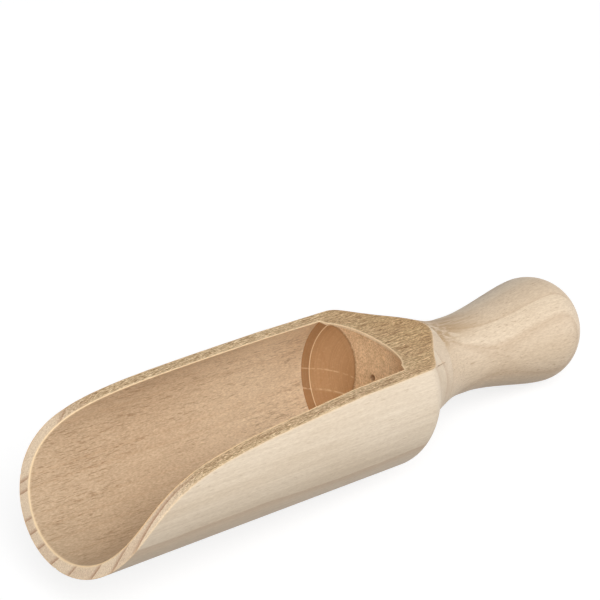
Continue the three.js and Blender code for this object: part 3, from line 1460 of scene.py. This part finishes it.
    def _ease(self, face: np.ndarray, highlight: np.ndarray, edge: RimEdge, wall: bool, flip: np.ndarray) -> None:
        """Rounds one face over towards an edge, in place, and lays the edge's painted highlight.

        Args:
            face: Points of the face by column and row.
            highlight: Share of the painted highlight by the eased edges, raised here.
            edge: The edge.
            wall: Whether the face is the wall at that edge, and not the cut.
            flip: Turns the far half of the rim into this one.
        """
        tree = kdtree.KDTree(len(edge.points))
        for number, point in enumerate(edge.points * flip):
            tree.insert(point, number)
        tree.balance()
        into_wall, into_cut = edge.into_wall * flip, edge.into_cut * flip
        beside, across = (into_wall, into_cut) if wall else (into_cut, into_wall)
        strength = self.outer_highlight if edge.outward else 1.0
        for cell in np.ndindex(face.shape[:2]):
            foot, number, away = tree.find(face[cell])
            if away > self.arris_reach:
                continue
            uneven = sum(share * noise.noise(foot * marks) for share, marks in self.wear)
            worn = self.arris * (1.0 + uneven)
            # Painted highlight, fading away from the edge
            highlight[cell] = max(highlight[cell], strength * math.exp(-((away / self.arris_highlight_width) ** 2)))
            if away >= worn:
                continue
            way = (face[cell] - np.array(foot)) / away if away > TOUCHING else beside[number]
            # Each face makes its own half of the round that runs from one to the other
            turn = 0.5 * (1.0 - away / worn)
            face[cell] = np.array(foot) + worn * ((1 - turn) ** 2 * way + turn**2 * across[number])

    @staticmethod
    def _grid(points: np.ndarray, highlight: np.ndarray) -> bpy.types.Mesh:
        """Makes one closed mesh of columns that run round the rim.

        Args:
            points: Points by column and row.
            highlight: Share of the painted highlight by column and row.

        Returns:
            The mesh, in the scoop's own frame.
        """
        number = np.arange(highlight.size).reshape(highlight.shape)
        beyond = np.roll(number, -1, axis=0)
        quads = np.stack([number[:, :-1], beyond[:, :-1], beyond[:, 1:], number[:, 1:]], axis=-1)
        mesh = bpy.data.meshes.new("turned_bowl")
        mesh.from_pydata(points.reshape(-1, 3).tolist(), [], quads.reshape(-1, 4).tolist())
        # The painted highlight reaches the material through this attribute
        arris = mesh.attributes.new("arris", "FLOAT", "POINT")
        arris.data.foreach_set("value", highlight.ravel())
        return mesh

    @staticmethod
    def dress(piece: bpy.types.Object, place: ScoopPlace) -> None:
        """Gives each tooled face of the bowl its finish.

        Args:
            piece: The bowl.
            place: Where the scoop's frame lies.
        """
        finishes = {
            Zone.BORED: BORED_BOWL,
            Zone.BORE_END: BORE_END,
            Zone.SAWN: SAWN_RIM,
            Zone.TURNED: TURNED_BOWL,
        }
        for zone in Zone:
            piece.data.materials.append(finishes[zone].material(BOWL_GRAIN, place))


@dataclass(frozen=True)
class Handle:
    """The turned handle: a cove that carries the shoulder on, a plain neck, a swell and a rounded bulb.

    Attributes:
        joint: Place along the axis of its front face.
        front_radius: Radius of the front face.
        front_slope: Fall of the cove at the front face.
        front_pull: Pull of the cove's curve at the front face.
        front_ease: Chamfer round the front face.
        cove_end: Place where the cove ends.
        cove_pull: Pull of the cove's curve at the neck.
        neck_radius: Radius of the neck.
        neck_pull: Pull of the swell at the neck.
        swell_start: Place where the neck begins to swell.
        swell_length: Length of the swell.
        bulb_radius: Radius of the bulb.
        bulb_pull: Pull of the swell at the bulb.
        cap_length: Length of the rounded end.
        socket_radius: Radius of the dowel's hole.
        socket_depth: Depth of the dowel's hole.
        mark_pitch: Spacing of the gouge's marks round the neck.
        mark_depth: Depth of those marks.
        mark_reach: How far along the neck they fade out.
        mark_least: Least radius that is marked, as a share of the neck's.
        sides: Columns of the mesh round the axis.
        steps: Steps of each curve of the outline.
    """

    joint: float = 0.14655
    front_radius: float = 0.015835
    front_slope: float = JOINT_SLOPE
    front_pull: float = 0.0041
    front_ease: float = 0.00004
    cove_end: float = 0.16
    cove_pull: float = 0.0051
    neck_radius: float = 0.01305
    neck_pull: float = 0.0118
    swell_start: float = 0.165
    swell_length: float = 0.0385
    bulb_radius: float = 0.0183
    bulb_pull: float = 0.0075
    cap_length: float = 0.017
    socket_radius: float = 0.0053
    socket_depth: float = 0.01525
    mark_pitch: float = 0.0011
    mark_depth: float = 0.000012
    mark_reach: float = 0.011
    mark_least: float = 0.995
    sides: int = 144
    steps: int = 72

    def sizes(self) -> dict[str, float | int]:
        """Lists the sizes by the names of the turning tree's inputs, such as Front Radius."""
        return {field.replace("_", " ").title(): value for field, value in asdict(self).items()}

    def build(self, place: ScoopPlace) -> bpy.types.Object:
        """Turns the handle with its tree and makes the result a plain mesh.

        Args:
            place: Where the scoop's frame lies.

        Returns:
            The handle.
        """
        tree = self._turning_tree()
        blank = shown("handle_blank", bpy.data.meshes.new("handle_blank"))
        modifier = blank.modifiers.new("turning", "NODES")
        modifier.node_group = tree
        values = {**self.sizes(), "Material": self.dress(place)}
        for item in tree.interface.items_tree:
            if item.in_out == "INPUT":
                modifier[item.identifier] = values[item.name]
        bpy.context.view_layer.update()
        turned = blank.evaluated_get(bpy.context.evaluated_depsgraph_get())
        mesh = bpy.data.meshes.new_from_object(turned)
        blank.modifiers.remove(modifier)
        bpy.data.objects.remove(blank)
        return laid_piece("turned_handle", mesh, place)

    @staticmethod
    def dress(place: ScoopPlace) -> bpy.types.Material:
        """Makes the finish that the turning tree lays on the handle."""
        return TURNED_HANDLE.material(HANDLE_GRAIN, place)

    def _turning_tree(self) -> bpy.types.NodeTree:
        """Builds the tree that turns the handle's outline round its axis.

        Returns:
            The tree.
        """
        tree = bpy.data.node_groups.new("handle_turning", "GeometryNodeTree")
        desk = NodeDesk(tree)
        for name, value in self.sizes().items():
            kind = "NodeSocketInt" if isinstance(value, int) else "NodeSocketFloat"
            tree.interface.new_socket(name, in_out="INPUT", socket_type=kind)
        tree.interface.new_socket("Material", in_out="INPUT", socket_type="NodeSocketMaterial")
        tree.interface.new_socket("Geometry", in_out="OUTPUT", socket_type="NodeSocketGeometry")
        inputs = desk.add("NodeGroupInput").outputs
        size = {name: Wire(desk, inputs[name]) for name in (*self.sizes(), "Material")}
        outline = self._outline(desk, size)
        counted = {"Geometry": outline}
        points = desk.out("GeometryNodeAttributeDomainSize", counted, "Point Count", component="MESH")
        around = size["Sides"] + 1
        sheet = desk.out("GeometryNodeMeshGrid", {"Vertices X": points, "Vertices Y": around})
        index = desk.out("GeometryNodeInputIndex")
        # Half a step keeps a row whole where the division falls just short
        row = desk.math("FLOOR", (index + 0.5) / around)
        turn = (index - row * around) / size["Sides"] * (2 * math.pi)
        read = {"Geometry": outline, "Value": desk.out("GeometryNodeInputPosition"), "Index": row}
        spot = desk.out("GeometryNodeSampleIndex", read, data_type="FLOAT_VECTOR", domain="POINT")
        along, _, radius = desk.split(spot)
        cut = self._gouge_marks(desk, size, along, radius)
        spin = {"Vector": desk.vector(along, 0.0, cut), "Angle": turn}
        spun = desk.out("ShaderNodeVectorRotate", spin, rotation_type="X_AXIS")
        wood = desk.out("GeometryNodeSetPosition", {"Geometry": sheet, "Position": spun})
        wood = desk.out("GeometryNodeMergeByDistance", {"Geometry": wood, "Distance": MERGE_GAP})
        wood = desk.out("GeometryNodeRealizeInstances", {"Geometry": wood})
        wood = desk.out("GeometryNodeSetMaterial", {"Geometry": wood, "Material": size["Material"]})
        desk.add("NodeGroupOutput", {"Geometry": wood})
        return tree

    @staticmethod
    def _outline(desk: NodeDesk, size: Sizes) -> Wire:
        """Draws the handle's outline as a chain of edges from the dowel's hole to the bulb's end.

        Args:
            desk: The tree of nodes.
            size: The tree's inputs by name.

        Returns:
            The chain.
        """
        joint, hole, front = size["Joint"], size["Socket Radius"], size["Front Radius"]
        neck, bulb, ease = size["Neck Radius"], size["Bulb Radius"], size["Front Ease"]
        bottom, brow = joint + size["Socket Depth"], joint + ease
        swell_end = size["Swell Start"] + size["Swell Length"]
        face = [(bottom, 0.0), (bottom, hole), (joint, hole), (joint, front - ease), (brow, front)]
        cove = [
            (brow, front),
            (brow + size["Front Pull"], front - size["Front Pull"] * size["Front Slope"]),
            (size["Cove End"] - size["Cove Pull"], neck),
            (size["Cove End"], neck),
        ]
        swell = [
            (size["Swell Start"], neck),
            (size["Swell Start"] + size["Neck Pull"], neck),
            (swell_end - size["Bulb Pull"], bulb),
            (swell_end, bulb),
        ]
        flats, *curves = (
            [desk.vector(along, 0.0, radius) for along, radius in run] for run in (face, cove, swell)
        )
        parts = [
            desk.out("GeometryNodeCurvePrimitiveLine", {"Start": start, "End": end})
            for start, end in zip(flats, flats[1:])
        ]
        fine = {"Resolution": size["Steps"]}
        for curve in curves:
            pulls = dict(zip(("Start", "Start Handle", "End Handle", "End"), curve))
            parts.append(desk.out("GeometryNodeCurvePrimitiveBezierSegment", {**fine, **pulls}))
        quarter = {**fine, "Radius": 1.0, "Start Angle": 0.0, "Sweep Angle": math.pi / 2}
        arc = desk.out("GeometryNodeCurveArc", quarter)
        drop, rise, _ = desk.split(desk.out("GeometryNodeInputPosition"))
        cap = desk.vector(rise * size["Cap Length"] + swell_end, 0.0, drop * bulb)
        parts.append(desk.out("GeometryNodeSetPosition", {"Geometry": arc, "Position": cap}))
        chain = desk.add("GeometryNodeJoinGeometry")
        for part in reversed(parts):
            desk.feed(chain.inputs[0], desk.out("GeometryNodeCurveToMesh", {"Curve": part}))
        return Wire(desk, chain.outputs[0])

    @staticmethod
    def _gouge_marks(desk: NodeDesk, size: Sizes, along: Wire, radius: Wire) -> Wire:
        """Cuts the fine rings that the gouge leaves round the front of the neck.

        Args:
            desk: The tree of nodes.
            size: The tree's inputs by name.
            along: Place along the axis.
            radius: Radius of the plain outline there.

        Returns:
            The radius with the marks.
        """
        gone = along - size["Joint"]
        fade = desk.math("MAXIMUM", 1.0 - gone / size["Mark Reach"], 0.0)
        outer = desk.math("GREATER_THAN", radius, size["Neck Radius"] * size["Mark Least"])
        wave = desk.math("SINE", gone / size["Mark Pitch"] * (2 * math.pi))
        return wave * outer * (fade * size["Mark Depth"]) + radius


@dataclass(frozen=True)
class Dowel:
    """The dowel hidden in the joint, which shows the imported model's own mesh.

    Attributes:
        node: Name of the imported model's node.
    """

    node: str = "joint_dowel"

    def dress(self, nodes: dict[str, bpy.types.Object], place: ScoopPlace) -> None:
        """Gives the dowel its finish.

        Args:
            nodes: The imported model's objects by name.
            place: Where the scoop's frame lies.
        """
        materials = nodes[self.node].data.materials
        materials.clear()
        materials.append(DOWEL_WOOD.material(HANDLE_GRAIN, place))


@dataclass(frozen=True)
class SoftLamp:
    """A round soft light.

    Attributes:
        name: Name of the lamp.
        toward: Its direction from the scoop.
        share: Light that it lays on a face turned to it, where 1 shows a colour as it is written.
        away: Distance from the scoop.
        span: Width of the lamp.
    """

    name: str
    toward: tuple[float, float, float]
    share: float
    away: float = 3.0
    span: float = 1.9

    def hang(self) -> None:
        """Hangs the lamp, turned to the scoop."""
        lamp = bpy.data.lights.new(self.name, "AREA")
        lamp.shape = "DISK"
        lamp.size = self.span
        lamp.energy = self.share * math.pi**2 * (self.away**2 + self.span**2 / 4)
        holder = shown(self.name, lamp)
        way = Vector(self.toward).normalized()
        holder.location = way * self.away
        holder.rotation_mode = "QUATERNION"
        holder.rotation_quaternion = (-way).to_track_quat("-Z", "Y")


@dataclass(frozen=True)
class Studio:
    """A pale floor under soft light, with the camera where the photograph was taken.

    Attributes:
        floor_span: Width of the floor.
        floor_shade: How much light the floor throws back.
        floor_white: Light that the floor shows of its own, so that it looks white outside the shadow.
        lamps: The soft lights.
        sky_share: Light from all round, on the lamps' scale.
        aim: Point that the camera looks at.
        distance: Distance of the camera from it.
        azimuth: Direction of the look round the scoop, from +Y towards +X.
        elevation: How far the camera looks down.
        roll: How far the camera is turned about its look.
        lens: Focal length in millimetres.
        sensor: Width of the picture in the camera in millimetres.
    """

    floor_span: float = 5.0
    floor_shade: float = 0.32
    floor_white: float = 0.78
    lamps: tuple[SoftLamp, ...] = (
        SoftLamp("soft_right", (0.76, -0.56, 0.3), 0.35),
        SoftLamp("soft_front", (-0.35, -0.56, 0.75), 0.5),
        SoftLamp("soft_left", (-0.88, -0.42, 0.18), 0.28),
    )
    sky_share: float = 0.28
    aim: tuple[float, float, float] = (0.01001, 0.02827, 0.04741)
    distance: float = 0.66545
    azimuth: float = math.radians(45.123)
    elevation: float = math.radians(29.6957)
    roll: float = math.radians(3.2653)
    lens: float = 123.826
    sensor: float = 36.0

    def build(self, table: float) -> bpy.types.Object:
        """Sets up the floor, the light and the camera.

        Args:
            table: Height of the floor.

        Returns:
            The floor.
        """
        floor = self._floor(table)
        self._sky()
        for lamp in self.lamps:
            lamp.hang()
        self._camera()
        bpy.context.scene.view_settings.view_transform = "Standard"
        return floor

    @staticmethod
    def _seen(desk: NodeDesk) -> Wire:
        """Tells rays that show the background, straight or mirrored or through glass, from the others.

        Args:
            desk: The tree of nodes.

        Returns:
            1 for those rays and 0 for the others.
        """
        path = desk.add("ShaderNodeLightPath").outputs
        camera, glossy, through = (
            Wire(desk, path[name]) for name in ("Is Camera Ray", "Is Glossy Ray", "Is Transmission Ray")
        )
        return desk.math("MAXIMUM", camera, desk.math("MAXIMUM", glossy, through))

    def _floor(self, table: float) -> bpy.types.Object:
        """Lays the floor.

        Args:
            table: Its height.

        Returns:
            The floor.
        """
        half = self.floor_span / 2
        corners = [(-half, -half, table), (half, -half, table), (half, half, table), (-half, half, table)]
        mesh = bpy.data.meshes.new("studio_floor")
        mesh.from_pydata(corners, [], [(0, 1, 2, 3)])
        material = bpy.data.materials.new("pale_floor")
        material.use_nodes = True
        desk = NodeDesk(material.node_tree)
        matt = desk.out("ShaderNodeBsdfDiffuse", {"Color": (*(self.floor_shade,) * 3, 1.0)})
        white = desk.out("ShaderNodeEmission", {"Strength": self._seen(desk) * self.floor_white})
        both = desk.out("ShaderNodeAddShader", {0: matt, 1: white})
        desk.add("ShaderNodeOutputMaterial", {"Surface": both})
        mesh.materials.append(material)
        return shown("studio_floor", mesh)

    def _sky(self) -> None:
        """Lights the scoop evenly from all round and shows white behind it."""
        world = bpy.data.worlds.new("studio_sky")
        world.use_nodes = True
        bpy.context.scene.world = world
        desk = NodeDesk(world.node_tree)
        strength = self._seen(desk) * (1.0 - self.sky_share) + self.sky_share
        sky = desk.out("ShaderNodeBackground", {"Color": (1.0, 1.0, 1.0, 1.0), "Strength": strength})
        desk.add("ShaderNodeOutputWorld", {"Surface": sky})

    def _camera(self) -> None:
        """Stands the camera at the photograph's view."""
        level = math.cos(self.elevation)
        look = Vector(
            (math.sin(self.azimuth) * level, math.cos(self.azimuth) * level, -math.sin(self.elevation))
        )
        flat = look.cross(Vector((0.0, 0.0, 1.0))).normalized()
        right = flat * math.cos(self.roll) + flat.cross(look) * math.sin(self.roll)
        turn = Matrix((right, right.cross(look), -look)).transposed()
        lens = bpy.data.cameras.new("photo_camera")
        lens.lens = self.lens
        lens.sensor_width = self.sensor
        camera = shown("photo_camera", lens)
        camera.matrix_world = Matrix.Translation(Vector(self.aim) - look * self.distance) @ turn.to_4x4()
        bpy.context.scene.camera = camera


def main() -> None:
    """Builds the scoop and its studio in order."""
    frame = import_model()
    mouth = SawnMouth()
    place = ScoopPlace.from_land(frame["record"], LAND_STATION, mouth)

    bowl_form = Bowl(mouth)
    bowl = bowl_form.build(place)
    bowl_form.dress(bowl, place)
    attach(bowl, BODY)
    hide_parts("bowl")
    log.info("bowl dressed")

    handle = Handle().build(place)
    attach(handle, BODY)
    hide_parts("handle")
    log.info("handle dressed")

    Dowel().dress(frame["nodes"], place)
    log.info("dowel dressed")

    visual_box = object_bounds()
    floor = Studio().build(min(visual_box[0].z, 0.0))


if __name__ == "__main__":
    logging.basicConfig(level=logging.INFO)
    main()
